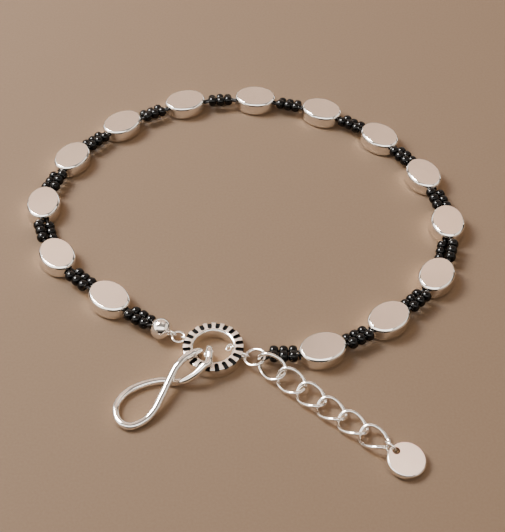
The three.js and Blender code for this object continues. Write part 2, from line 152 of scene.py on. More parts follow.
# The camera, fitted to the photograph's perspective.
CAMERA_PLACE = Vector((1.807, -164.250, 180.276)) * MM
CAMERA_TARGET = Vector((1.807, -4.481, 3.304)) * MM
CAMERA_LENS = 78.78
SENSOR = 36
CLIP_NEAR = 0.01
CLIP_FAR = 10

FLOOR_HALF = 1.5

# Base colours, each as the two tones that a noise mixes.
SATIN_TONES = ((0.865, 0.775, 0.69), (0.90, 0.81, 0.73))
POLISHED_TONES = ((0.88, 0.84, 0.79), (0.93, 0.89, 0.845))
BLACKENED_TONES = ((0.002, 0.002, 0.002), (0.009, 0.008, 0.007))
GLASS_TONES = ((0.001, 0.001, 0.0012), (0.003, 0.003, 0.0034))
THREAD_TONES = ((0.006, 0.006, 0.007), (0.025, 0.024, 0.024))
FLOOR_TONES = ((0.314, 0.195, 0.103), (0.340, 0.214, 0.116))

# Roughness from the shiniest to the dullest spots.
SATIN_ROUGHNESS = (0.14, 0.19)
LANDS_ROUGHNESS = (0.23, 0.29)
POLISHED_ROUGHNESS = (0.05, 0.11)
BLACKENED_ROUGHNESS = (0.6, 0.8)
GLASS_ROUGHNESS = (0.03, 0.07)
THREAD_ROUGHNESS = (0.5, 0.8)
FLOOR_ROUGHNESS = 0.9

# Gloss of the surfaces that aren't metal.
BLACKENED_SPECULAR = 0.08
GLASS_SPECULAR = 0.23
GLASS_IOR = 1.5

# Most values of a noise lie between these two.
NOISE_LOW = 0.3
NOISE_HIGH = 0.7

# The world's colour, and how its strength grows with the height of a direction.
SKY_COLOUR = (1, 0.92, 0.84, 1)
SKY_RISE = {"From Min": 0.3, "From Max": 0.5, "To Min": 0.01, "To Max": 0.34}

# Lights as direction, distance, width and height, radiance and colour. The key and the back lamps
# light the pieces. Nothing mirrors the key. The cards are only seen mirrored.
KEY = ((-0.66, 0.27, 0.70), 0.6, (0.22, 0.22), 19.4, (1, 0.96, 0.91))
CARDS = {
    "glint": ((-0.504, 0.287, 0.811), 0.61, (0.22, 0.22), 105, (1, 0.98, 0.96)),
    "front": ((-0.06, -0.60, 0.80), 0.6, (0.86, 0.3), 3.0, (1, 0.95, 0.90)),
    "left": ((-0.85, 0, 0.52), 0.6, (0.8, 0.3), 3.0, (1, 0.96, 0.92)),
    "right": ((0.84, -0.10, 0.53), 0.6, (0.8, 0.3), 1.1, (1, 0.90, 0.80)),
    "top_right": ((0.24, 0.30, 0.92), 0.6, (0.2, 0.16), 1.4, (1, 0.80, 0.70)),
    "low_left": ((-0.86, -0.42, 0.16), 0.7, (0.9, 0.24), 0.5, (1, 0.78, 0.6)),
    "low_right": ((0.84, -0.45, 0.16), 0.7, (0.9, 0.24), 0.5, (1, 0.78, 0.6)),
    "rim": ((0, 0.97, 0.24), 0.7, (2.2, 0.1), 3.0, (1, 0.93, 0.87)),
}
BACK_LAMPS = {
    "back_high_left": ((-0.2, 0.296, 0.545), 0.65, (0.4, 0.3), 0.86, (1, 0.66, 0.475)),
    "back_high_right": ((0.2, 0.296, 0.545), 0.65, (0.4, 0.3), 0.7, (1, 0.655, 0.465)),
    "back_low": ((0, 0.82, 0.572), 0.6, (0.8, 0.3), 0.66, (1, 0.655, 0.45)),
}


# Materials

def new_material(name):
    material = bpy.data.materials.new(name)
    material.use_nodes = True
    return material, material.node_tree, material.node_tree.nodes["Principled BSDF"]


def texture_place(tree, stretch=(1, 1, 1)):
    """Object coordinates in metres, stretched."""
    place = tree.nodes.new("ShaderNodeTexCoord")
    mapping = tree.nodes.new("ShaderNodeMapping")
    mapping.inputs["Scale"].default_value = stretch
    tree.links.new(place.outputs["Object"], mapping.inputs["Vector"])
    return mapping.outputs["Vector"]


def noise(tree, size, stretch=(1, 1, 1), detail=3, vector=None):
    """A noise whose spots are about the given size in metres."""
    texture = tree.nodes.new("ShaderNodeTexNoise")
    texture.inputs["Scale"].default_value = 1 / size
    texture.inputs["Detail"].default_value = detail
    tree.links.new(vector or texture_place(tree, stretch), texture.inputs["Vector"])
    return texture.outputs["Fac"]


def spread(tree, value, low, high):
    """A noise value spread between two numbers."""
    node = tree.nodes.new("ShaderNodeMapRange")
    node.inputs["From Min"].default_value = NOISE_LOW
    node.inputs["From Max"].default_value = NOISE_HIGH
    node.inputs["To Min"].default_value = low
    node.inputs["To Max"].default_value = high
    tree.links.new(value, node.inputs["Value"])
    return node.outputs["Result"]


def two_tone(tree, value, first, second):
    """A colour between two, chosen by a noise value."""
    node = tree.nodes.new("ShaderNodeMix")
    node.data_type = "RGBA"
    node.inputs["A"].default_value = (*first, 1)
    node.inputs["B"].default_value = (*second, 1)
    tree.links.new(spread(tree, value, 0, 1), node.inputs["Factor"])
    return node.outputs["Result"]


def bump(tree, height, depth, strength, under=None):
    node = tree.nodes.new("ShaderNodeBump")
    node.inputs["Distance"].default_value = depth
    node.inputs["Strength"].default_value = strength
    tree.links.new(height, node.inputs["Height"])
    if under:
        tree.links.new(under, node.inputs["Normal"])
    return node.outputs["Normal"]


def sunray(tree, rays):
    """A noise that only changes with the angle round the piece's own upright axis."""
    place = tree.nodes.new("ShaderNodeTexCoord")
    parts = tree.nodes.new("ShaderNodeSeparateXYZ")
    angle = tree.nodes.new("ShaderNodeMath")
    angle.operation = "ARCTAN2"
    joined = tree.nodes.new("ShaderNodeCombineXYZ")
    tree.links.new(place.outputs["Object"], parts.inputs["Vector"])
    tree.links.new(parts.outputs["Y"], angle.inputs[0])
    tree.links.new(parts.outputs["X"], angle.inputs[1])
    tree.links.new(angle.outputs["Value"], joined.inputs["X"])
    return noise(tree, 1 / rays, detail=2, vector=joined.outputs["Vector"])


def finish_surface(tree, shader, clouds, tones, grain, roughness, relief):
    """Colours a surface by one noise, roughens it by another and gives it its relief."""
    tree.links.new(two_tone(tree, clouds, *tones), shader.inputs["Base Color"])
    tree.links.new(spread(tree, grain, *roughness), shader.inputs["Roughness"])
    tree.links.new(relief, shader.inputs["Normal"])


def satin_silver(name, roughness):
    """Satin faces: a fine even grain under a very faint sunray brushing."""
    material, tree, shader = new_material(name)
    grain = noise(tree, 0.06 * MM, detail=4)
    clouds = noise(tree, 2.5 * MM)
    brushed = bump(tree, sunray(tree, rays=9), depth=0.004 * MM, strength=0.25)
    relief = bump(tree, grain, depth=0.003 * MM, strength=0.3, under=brushed)
    finish_surface(tree, shader, clouds, SATIN_TONES, grain, roughness, relief)
    shader.inputs["Metallic"].default_value = 1
    return material


def polished_silver():
    """Mirror polish with the hair-fine marks of handling."""
    material, tree, shader = new_material("polished_silver")
    marks = noise(tree, 0.5 * MM, stretch=(1, 7, 2), detail=5)
    clouds = noise(tree, 1.2 * MM)
    relief = bump(tree, marks, depth=0.002 * MM, strength=0.2)
    finish_surface(tree, shader, clouds, POLISHED_TONES, marks, POLISHED_ROUGHNESS, relief)
    shader.inputs["Metallic"].default_value = 1
    return material


def blackened_silver():
    """The oxidised floor and walls of the ring's notches."""
    material, tree, shader = new_material("blackened_silver")
    grain = noise(tree, 0.08 * MM, detail=5)
    relief = bump(tree, grain, depth=0.02 * MM, strength=0.5)
    finish_surface(tree, shader, grain, BLACKENED_TONES, grain, BLACKENED_ROUGHNESS, relief)
    shader.inputs["Specular IOR Level"].default_value = BLACKENED_SPECULAR
    return material


def black_glass():
    """Jet glass: a glossy skin that is a little wavy, as pressed seed beads are."""
    material, tree, shader = new_material("black_glass")
    waves = noise(tree, 0.7 * MM, detail=2)
    haze = noise(tree, 0.12 * MM, detail=4)
    relief = bump(tree, waves, depth=0.02 * MM, strength=0.15)
    finish_surface(tree, shader, waves, GLASS_TONES, haze, GLASS_ROUGHNESS, relief)
    shader.inputs["IOR"].default_value = GLASS_IOR
    shader.inputs["Specular IOR Level"].default_value = GLASS_SPECULAR
    return material


def black_thread():
    """Waxed thread: matt, with the fine grain of its fibres."""
    material, tree, shader = new_material("black_thread")
    fibres = noise(tree, 0.05 * MM, stretch=(1, 4, 4), detail=4)
    relief = bump(tree, fibres, depth=0.05 * MM, strength=0.6)
    finish_surface(tree, shader, fibres, THREAD_TONES, fibres, THREAD_ROUGHNESS, relief)
    return material


SATIN = satin_silver("satin_silver", SATIN_ROUGHNESS)
LANDS = satin_silver("matt_silver", LANDS_ROUGHNESS)
POLISHED = polished_silver()
BLACKENED = blackened_silver()
GLASS = black_glass()
THREADS = black_thread()


# Mesh helpers

def polar(angle, radius, height=0):
    """A point at an angle round Z, in degrees from X."""
    turn = math.radians(angle)
    return Vector((radius * math.cos(turn), radius * math.sin(turn), height))


def grid_faces(rows, columns, close_rows=False):
    """Faces of a grid of points whose columns close on themselves."""
    faces = []
    for i in range(rows if close_rows else rows - 1):
        for j in range(columns):
            after = (j + 1) % columns
            below = ((i + 1) % rows) * columns
            faces.append((i * columns + j, i * columns + after, below + after, below + j))
    return faces


def capped_faces(rows, columns):
    """Faces of such a grid with its first and last row closed by a cap."""
    first = tuple(reversed(range(columns)))
    last = tuple(range((rows - 1) * columns, rows * columns))
    return [*grid_faces(rows, columns), first, last]


def new_mesh(name, points, faces, *materials):
    mesh = bpy.data.meshes.new(name)
    mesh.from_pydata([tuple(p) for p in points], [], faces)
    for material in materials:
        mesh.materials.append(material)
    mesh.shade_smooth()
    return mesh


def add_piece(name, mesh, matrix=Matrix(), replaces=None):
    """Shows a mesh at its place as a piece of the anklet."""
    piece = bpy.data.objects.new(name, mesh)
    bpy.context.scene.collection.objects.link(piece)
    piece.matrix_world = matrix
    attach(piece, "root")
    if replaces:
        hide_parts(replaces)
    return piece


def joined(name, meshes, *materials):
    """Several meshes as one. Their faces keep the numbers of their material slots."""
    points = []
    faces = []
    slots = []
    for mesh in meshes:
        start = len(points)
        points += [v.co.copy() for v in mesh.vertices]
        faces += [tuple(start + i for i in face.vertices) for face in mesh.polygons]
        slots += [face.material_index for face in mesh.polygons]
    whole = new_mesh(name, points, faces, *materials)
    whole.polygons.foreach_set("material_index", slots)
    return whole


def moved(mesh, matrix):
    copy = mesh.copy()
    copy.transform(matrix)
    return copy


def cut(mesh, cutter):
    """The mesh with the cutter's shape taken out of it."""
    body = bpy.data.objects.new("body", mesh)
    tool = bpy.data.objects.new("tool", cutter)
    for item in (body, tool):
        bpy.context.scene.collection.objects.link(item)
    change = body.modifiers.new("cut", "BOOLEAN")
    change.operation = "DIFFERENCE"
    change.solver = "EXACT"
    change.object = tool
    whole = bpy.data.meshes.new_from_object(body.evaluated_get(bpy.context.evaluated_depsgraph_get()))
    bpy.data.objects.remove(body)
    bpy.data.objects.remove(tool)
    return whole


def crisp(mesh, degrees=38):
    """Smooth shading with sharp edges where two faces meet at a clear angle."""
    mesh.shade_smooth()
    mesh.set_sharp_from_angle(angle=math.radians(degrees))
    return mesh


def lathe(name, profile, sides, *materials):
    """A body turned round Z from a closed profile of radius and height."""
    points = []
    for radius, height in profile:
        points += [polar(360 * j / sides, radius, height) for j in range(sides)]
    return new_mesh(name, points, grid_faces(len(profile), sides, close_rows=True), *materials)


def wire(name, route, radius, sides, closed=False, materials=()):
    """A round wire along a route of points, with flat ends if it is open."""
    count = len(route)
    if closed:
        beside = [(i - 1, (i + 1) % count) for i in range(count)]
    else:
        beside = [(max(i - 1, 0), min(i + 1, count - 1)) for i in range(count)]
    tangents = [(route[after] - route[before]).normalized() for before, after in beside]
    side = tangents[0].orthogonal().normalized()
    sideways = [side]
    for i in range(1, count):
        side = (tangents[i - 1].rotation_difference(tangents[i]) @ side).normalized()
        sideways.append(side)
    twist = 0
    if closed:
        last = tangents[-1].rotation_difference(tangents[0]) @ side
        twist = math.atan2(last.cross(sideways[0]).dot(tangents[0]), last.dot(sideways[0]))
    points = []
    for i in range(count):
        turned = Matrix.Rotation(twist * i / count, 3, tangents[i]) @ sideways[i]
        across = tangents[i].cross(turned)
        for j in range(sides):
            a = 2 * math.pi * j / sides
            points.append(route[i] + radius * (math.cos(a) * turned + math.sin(a) * across))
    faces = grid_faces(count, sides, close_rows=True) if closed else capped_faces(count, sides)
    return new_mesh(name, points, faces, *materials)


def arc_route(radius, start, end, steps):
    return [polar(start + (end - start) * i / steps, radius) for i in range(steps + 1)]


def wire_circle(name, radius, steps, wire_radius, sides):
    """A closed ring of round wire that lies flat round Z."""
    return wire(name, arc_route(radius, 0, 360, steps)[:-1], wire_radius, sides, closed=True)


def smooth_route(stops, steps, closed=False):
    """A centripetal curve through the stops, with so many steps between two of them."""
    count = len(stops)
    route = []
    for i in range(count if closed else count - 1):
        if closed:
            four = [stops[(i + k) % count] for k in (-1, 0, 1, 2)]
        else:
            before = stops[i - 1] if i > 0 else 2 * stops[0] - stops[1]
            after = stops[i + 2] if i + 2 < count else 2 * stops[-1] - stops[-2]
            four = [before, stops[i], stops[i + 1], after]
        spans = [math.sqrt((four[k + 1] - four[k]).length) for k in range(3)]
        begin = spans[1] * (
            (four[1] - four[0]) / spans[0]
            - (four[2] - four[0]) / (spans[0] + spans[1])
            + (four[2] - four[1]) / spans[1]
        )
        finish = spans[1] * (
            (four[2] - four[1]) / spans[1]
            - (four[3] - four[1]) / (spans[1] + spans[2])
            + (four[3] - four[2]) / spans[2]
        )
        for step in range(steps):
            t = step / steps
            route.append(
                four[1]
                + t * begin
                + t * t * (3 * (four[2] - four[1]) - 2 * begin - finish)
                + t**3 * (2 * (four[1] - four[2]) + begin + finish)
            )
    if not closed:
        route.append(stops[-1].copy())
    return route


# Places of the solids

def corners(node):
    """The different corners of a solid, one row each."""
    points = np.array([v.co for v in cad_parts[node].data.vertices])
    return np.unique(np.round(points, 7), axis=0)


def box_middle(node):
    low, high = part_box(node)
    return (low + high) / 2


def spread_axes(points):
    """The directions in which points spread most, next and least."""
    axes = np.linalg.svd(points - points.mean(axis=0), full_matrices=False)[2]
    longest = Vector(axes[0])
    next_longest = Vector(axes[1])
    return longest, next_longest, longest.cross(next_longest)


def placed(middle, along, up=UP):
    """The matrix that lays a piece made along X, with Z up, at its place."""
    x = along.normalized()
    z = (up - up.dot(x) * x).normalized()
    matrix = Matrix((x, z.cross(x), z)).transposed().to_4x4()
    matrix.translation = middle
    return matrix


def level(vector):
    """The direction of a vector as seen from above."""
    return Vector((vector.x, vector.y, 0)).normalized()


# Oval beads

def shoulder(size, steps=6):
    """Inset and drop of a bevelled edge, from the wall to the face: a small round off the wall, a
    steep and a flat bevel, both slightly bulging, and a small round into the face."""
    edge = [(0.0, 0.0)]
    for first, last, length in BEVEL_PARTS:
        for i in range(steps):
            slope = math.radians(first + (last - first) * (i + 0.5) / steps)
            inset, rise = edge[-1]
            edge.append((inset + length / steps * math.cos(slope), rise + length / steps * math.sin(slope)))
    scale = size / edge[-1][0]
    return [(scale * inset, scale * (edge[-1][1] - rise)) for inset, rise in edge]


def oval_ring(inset, height, sides=96):
    points = []
    for j in range(sides):
        a = 2 * math.pi * j / sides
        outward = Vector((OVAL_WIDTH * math.cos(a), OVAL_LENGTH * math.sin(a), 0)).normalized()
        edge = Vector((OVAL_LENGTH / 2 * math.cos(a), OVAL_WIDTH / 2 * math.sin(a), 0))
        points.append(edge - inset * outward + height * UP)
    return points


def tablet(name, ring, thickness, edge):
    """A flat body with bevelled edges and satin faces. ring gives its outline at an inset and a height.
    One more outline inside the bevel keeps the shading of the face flat."""
    bevel = shoulder(edge)
    face_edge = 1.12 * edge
    half = thickness / 2
    insets = [(face_edge, -half)] + [(i, d - half) for i, d in reversed(bevel)]
    insets += [(i, half - d) for i, d in bevel] + [(face_edge, half)]
    rings = [ring(inset, height) for inset, height in insets]
    sides = len(rings[0])
    points = [p for row in rings for p in row]
    mesh = new_mesh(name, points, capped_faces(len(rings), sides), POLISHED, SATIN)
    for face in mesh.polygons:
        if abs(face.normal.z) > FLAT_NORMAL:
            face.material_index = 1
    return mesh


def add_ovals():
    body = tablet("oval_bead", oval_ring, OVAL_THICKNESS, OVAL_SHOULDER)
    beyond = Vector((OVAL_LENGTH, 0, 0))
    body = crisp(cut(body, wire("bore", [-beyond, beyond], OVAL_HOLE / 2, sides=40)))
    for node in sorted(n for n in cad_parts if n.startswith("oval_bead")):
        along = spread_axes(corners(node))[0]
        add_piece(f"{node}_body", body, placed(box_middle(node), level(along)), node)


# Seed beads and thread

def seed_bead(sides=28, steps=14):
    """One glass bead along X, round-shouldered, with its hole."""
    hole = SEED_HOLE / 2
    wall = SEED_DIAMETER / 2 - hole
    rows = []
    for i in range(steps + 1):
        a = math.pi * (i / steps - 0.5)
        rows.append((SEED_LENGTH / 2 * math.sin(a), hole + wall * math.cos(a) ** SEED_ROUNDNESS))
    points = []
    for along, radius in rows:
        for j in range(sides):
            a = 2 * math.pi * j / sides
            points.append(Vector((along, radius * math.cos(a), radius * math.sin(a))))
    return new_mesh("seed_bead", points, grid_faces(steps + 1, sides, close_rows=True), GLASS)


SEED = seed_bead()


def row_middles(node):
    """Middles of a cluster's raised and low rows and their direction. The raised row's crowns are the
    solid's highest corners, and the low row's are its lowest."""
    points = corners(node)
    rows = []
    for crown, height in (
        (HIGH_ROW_HEIGHT + SEED_DIAMETER / 2, HIGH_ROW_HEIGHT),
        (FLOOR_PLAY, LOW_ROW_HEIGHT),
    ):
        crowns = points[abs(points[:, 2] - crown) < TOLERANCE]
        middle = crowns.mean(axis=0)
        rows.append(Vector((middle[0], middle[1], height)))
        along = level(spread_axes(crowns)[0])
    return rows, along


def cluster_place(node):
    rows, along = row_middles(node)
    return (rows[0] + rows[1]) / 2, along


def add_seeds(node, rng):
    """Two rows of three seeds. Each pair is rolled a little, and no two seeds are quite alike."""
    rows, along = row_middles(node)
    middle = (rows[0] + rows[1]) / 2
    side = 1 if (rows[0] - middle).dot(UP.cross(along)) > 0 else -1
    seeds = []
    for i in range(SEEDS_PER_STRAND):
        forward = (i - (SEEDS_PER_STRAND - 1) / 2) * (SEED_LENGTH + SEED_GAP)
        roll = math.radians(side * (CLUSTER_ROLL + rng.uniform(*SEED_ROLLS)))
        for end in (-1, 1):
            size = rng.uniform(*SEED_SIZES, 3)
            yaw, pitch = np.radians(rng.uniform(*SEED_TILTS, 2))
            turn = Matrix.Rotation(yaw, 4, "Z") @ Matrix.Rotation(pitch, 4, "Y")
            aside = Matrix.Rotation(roll, 4, "X") @ Matrix.Translation((forward, end * ROW_OFFSET, 0))
            seeds.append(moved(SEED, aside @ turn @ Matrix.Diagonal((*size, 1))))
    mesh = joined(f"{node}_glass", seeds, GLASS)
    add_piece(f"{node}_glass", mesh, placed(middle, along), node)


def thread_ends(before, middle, after, along, first, last):
    """Where a cluster's threads come out of the piece before it and go into the piece after it, each
    as a mouth and a point further inside."""
    into = OVAL_LENGTH / 2 - OVAL_MOUTH_DEPTH
    leave = before + into * level(middle - before)
    enter = after - into * level(after - middle)
    if first:
        leave = before + (END_BEAD_DIAMETER / 2 - END_BEAD_MOUTH_DEPTH) * (middle - before).normalized()
    if last:
        enter = middle + (CLUSTER_LENGTH / 2 + THREAD_LAST_REACH) * along
    inside_before = leave.lerp(before, THREAD_SHARE_BEFORE)
    inside_after = enter.lerp(after, THREAD_SHARE_AFTER)
    return (leave, inside_before), (enter, inside_after)


def thread_stops(row, along, aside, ends):
    """One thread's way: out of the hole before, through a row of seeds and into the hole after."""
    (leave, inside_before), (enter, inside_after) = ends
    shift = THREAD_SPREAD * aside
    reach = (CLUSTER_LENGTH / 2 - THREAD_TUCK) * along
    way_out = [inside_before + shift, leave + shift]
    way_in = [enter + shift, inside_after + shift]
    return [*way_out, row - reach, row + reach, *way_in]


def thread_loop(node):
    """The strand's last turn, round the right jump ring's wire."""
    radius = RIGHT_JUMP_WIRE / 2 + CLEARANCE + THREAD / 2 + BENT_LOOP_PLAY
    jump = box_middle("jump_ring_right")
    toward = level(cluster_place(node)[0] - jump)
    wire_point = jump + (RIGHT_JUMP_DIAMETER - RIGHT_JUMP_WIRE) / 2 * toward
    loop = wire_circle("thread_loop", radius, steps=40, wire_radius=THREAD / 2, sides=12)
    return moved(loop, placed(wire_point, toward, UP.cross(toward)))


def add_strand():
    """All clusters with their threads, from the end bead to the loop round the right jump ring."""
    rng = np.random.default_rng(RANDOM_START)
    clusters = sorted(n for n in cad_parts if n.startswith("seed_cluster"))
    ovals = sorted(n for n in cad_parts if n.startswith("oval_bead"))
    middles = [end_bead_middle()] + [box_middle(n) for n in ovals] + [box_middle("jump_ring_right")]
    for i, node in enumerate(clusters):
        before, after = middles[i], middles[i + 1]
        first = i == 0
        last = i == len(clusters) - 1
        middle, along = cluster_place(node)
        if along.dot(after - before) < 0:
            along = -along
        add_seeds(node, rng)
        ends = thread_ends(before, middle, after, along, first, last)
        strands = []
        for row in row_middles(node)[0]:
            route = smooth_route(thread_stops(row, along, level(row - middle), ends), steps=10)
            strands.append(wire("thread", route, THREAD / 2, sides=12))
        if last:
            strands.append(thread_loop(node))
        mesh = joined(f"{node}_thread", strands, THREADS)
        add_piece(f"{node}_thread", mesh)


# End bead

def end_bead_middle():
    """The end bead's middle, half a bead below its solid's highest corner."""
    points = corners("round_bead")
    top = points[points[:, 2].argmax()]
    return Vector((top[0], top[1], top[2] - END_BEAD_DIAMETER / 2))


def wall_loop(name, angle, wall_point, held_wire):
    """A soldered wire loop that stands upright on a wall and holds a ring's wire."""
    radius = SOLDERED_WIRE / 2
    middle_radius = held_wire / 2 + CLEARANCE + radius + BENT_LOOP_PLAY
    reach = held_wire + 2 * CLEARANCE - (middle_radius - radius)
    outward = polar(angle, 1)
    loop = wire_circle(name, middle_radius, steps=48, wire_radius=radius, sides=16)
    return moved(loop, placed(wall_point + reach * outward, outward, outward.cross(UP)))


def solder_ball(place, radius, sides=20, rows=12):
    """A small round blob of solder."""
    points = []
    for i in range(rows):
        a = math.pi * ((i + 0.5) / rows - 0.5)
        row = (radius * math.cos(a), radius * math.sin(a))
        points += [place + polar(360 * j / sides, *row) for j in range(sides)]
    return new_mesh("solder", points, capped_faces(rows, sides))


def angle_of(vector):
    """A vector's angle round Z, in degrees from X."""
    return math.degrees(math.atan2(vector.y, vector.x))


def drilled_ball(steps=40, sides=64):
    """The end bead with a blind hole from the top. The profile keeps a hair off the axis, so that a
    channel as thin as a hair runs on to the far side."""
    radius = END_BEAD_DIAMETER / 2
    hole = END_BEAD_HOLE / 2
    near_axis = 0.02 * MM
    hole_bottom = -0.2 * radius
    start = math.acos(hole / radius)
    profile = [(hole, 0.0)]
    for i in range(steps + 1):
        a = start + (-math.pi / 2 - start) * i / steps
        profile.append((max(radius * math.cos(a), near_axis), radius * math.sin(a)))
    profile.append((near_axis, hole_bottom))
    return lathe("end_bead", profile, sides, POLISHED)


def add_end_bead():
    """The end bead, its hole towards the strand and its loop towards the left jump ring."""
    middle = end_bead_middle()
    radius = END_BEAD_DIAMETER / 2
    toward = (cluster_place("seed_cluster_01")[0] - middle).normalized()
    ball = moved(drilled_ball(), placed(middle, toward.orthogonal(), toward))
    angle = angle_of(box_middle("jump_ring_left") - middle)
    sink = radius - END_BEAD_LOOP_HEIGHT
    wall = math.sqrt(radius**2 - sink**2)
    wall_point = Vector((middle.x, middle.y, END_BEAD_LOOP_HEIGHT)) + polar(angle, wall)
    loop = wall_loop("loop", angle, wall_point, LEFT_JUMP_WIRE)
    solder = solder_ball(wall_point + polar(angle, SOLDER_OUT), END_BEAD_SOLDER)
    mesh = joined("round_bead_body", [ball, loop, solder], POLISHED)
    add_piece("round_bead_body", crisp(mesh), replaces="round_bead")


# Jump rings

def add_jump_ring(node, diameter, wire_size, slit_toward):
    """A jump ring whose closed slit points to the given side."""
    name = f"{node}_wire"
    radius = (diameter - wire_size) / 2
    gap = math.degrees(JUMP_SLIT / radius)
    route = arc_route(radius, gap / 2, 360 - gap / 2, steps=72)
    ring = wire(name, route, wire_size / 2, sides=18, materials=[POLISHED])
    normal = spread_axes(corners(node))[2]
    if normal.z < 0:
        normal = -normal
    add_piece(name, crisp(ring), placed(box_middle(node), slit_toward, normal), node)


def add_clasp_jump_rings():
    """The jump rings at either side of the notched ring, with their slits on the side."""
    clasp = ring_middle()
    for node, diameter, wire_size in (
        ("jump_ring_left", LEFT_JUMP_DIAMETER, LEFT_JUMP_WIRE),
        ("jump_ring_right", RIGHT_JUMP_DIAMETER, RIGHT_JUMP_WIRE),
    ):
        add_jump_ring(node, diameter, wire_size, UP.cross(box_middle(node) - clasp))


# Notched ring

def ring_middle():
    """The middle of the notched ring's corners in its top plane, brought down to the floor."""
    points = corners("notched_ring")
    top = points[abs(points[:, 2] - RING_HEIGHT) < 2 * TOLERANCE]
    return Vector((*top.mean(axis=0)[:2], 0))


def notch_cutter():
    """One notch along X: parallel walls, round inner end, open at the ring's outer wall."""
    half = NOTCH_WIDTH / 2
    start = RING_RADIUS - NOTCH_LENGTH + half
    outline = [Vector((start, 0, 0)) + polar(90 + 180 * i / 12, half) for i in range(13)]
    outline += [Vector((RING_RADIUS + half, y, 0)) for y in (-half, half)]
    points = []
    for height in (RING_HEIGHT - NOTCH_DEPTH, RING_HEIGHT + NOTCH_DEPTH):
        points += [p + height * UP for p in outline]
    return new_mesh("notch", points, capped_faces(2, len(outline)))


def rounded_corner(radius, height, size, outward, upward, steps=5):
    """Profile points round a corner of the ring's section, in the order wall to face."""
    points = []
    for i in range(steps + 1):
        turn = math.pi / 2 * i / steps
        across = radius - outward * size + outward * size * math.cos(turn)
        points.append((across, height - upward * size + upward * size * math.sin(turn)))
    return points


def curl(steps=60):
    """The small wire spiral soldered on the ring's inner wall, which leans towards the camera."""
    route = []
    for i in range(steps + 1):
        share = i / steps
        radius = CURL_RADIUS * (1 - CURL_TIGHTENING * share)
        route.append(polar(CURL_TURN * share, radius, CURL_LIFT * share))
    body = wire("curl", route, CURL_WIRE / 2, sides=14)
    place = polar(CURL_ANGLE, RING_HOLE_RADIUS - CURL_RADIUS * CURL_SUNK_SHARE, RING_HEIGHT / 2 + CURL_RISE)
    outward = polar(CURL_ANGLE, 1)
    along = outward - outward.dot(CURL_NORMAL) / CURL_NORMAL.length_squared * CURL_NORMAL
    return moved(body, placed(place, along, CURL_NORMAL))


def notched_band(sides=240):
    """The ring's band with its notches cut in."""
    profile = rounded_corner(RING_RADIUS, RING_HEIGHT, RING_OUTER_BEVEL, 1, 1)
    profile += reversed(rounded_corner(RING_HOLE_RADIUS, RING_HEIGHT, RING_INNER_BEVEL, -1, 1))
    profile += rounded_corner(RING_HOLE_RADIUS, 0, RING_INNER_BEVEL, -1, -1)
    profile += reversed(rounded_corner(RING_RADIUS, 0, RING_OUTER_BEVEL, 1, -1))
    band = lathe("band", list(reversed(profile)), sides, POLISHED)
    notches = joined("notches", [
        moved(notch_cutter(), Matrix.Rotation(2 * math.pi * (i + 0.5) / NOTCH_COUNT, 4, "Z"))
        for i in range(NOTCH_COUNT)
    ])
    return cut(band, notches)


def blacken_notches(band):
    """Black floors and walls in the notches, and a matt top between them."""
    band.materials.append(BLACKENED)
    band.materials.append(LANDS)
    floor_height = RING_HEIGHT - NOTCH_DEPTH
    below_top = RING_HEIGHT - 0.1 * TOLERANCE
    inner_edge = RING_HOLE_RADIUS + RING_INNER_BEVEL
    outer_edge = RING_RADIUS - 0.5 * TOLERANCE
    for face in band.polygons:
        radius = math.hypot(face.center.x, face.center.y)
        deep = floor_height - TOLERANCE < face.center.z < below_top
        wall_or_floor = abs(face.normal.z) < WALL_NORMAL or face.normal.z > FLOOR_NORMAL
        if deep and inner_edge < radius < outer_edge and wall_or_floor:
            face.material_index = 1
        elif face.normal.z > FLAT_NORMAL and face.center.z > below_top:
            face.material_index = 2


def add_notched_ring():
    """The ring with its curl and the two soldered loops that hold the jump rings."""
    centre = ring_middle()
    band = notched_band()
    blacken_notches(band)
    bodies = [band, curl()]
    for node, held in (("jump_ring_left", LEFT_JUMP_WIRE), ("jump_ring_right", RIGHT_JUMP_WIRE)):
        angle = angle_of(box_middle(node) - centre)
        wall_point = polar(angle, RING_RADIUS, RING_HEIGHT / 2)
        bodies.append(wall_loop("loop", angle, wall_point, held))
        bodies.append(solder_ball(wall_point, RING_SOLDER))
    mesh = crisp(joined("notched_ring_body", bodies, POLISHED, BLACKENED, LANDS), degrees=30)
    add_piece("notched_ring_body", mesh, Matrix.Translation(centre), "notched_ring")


# Figure-eight hook

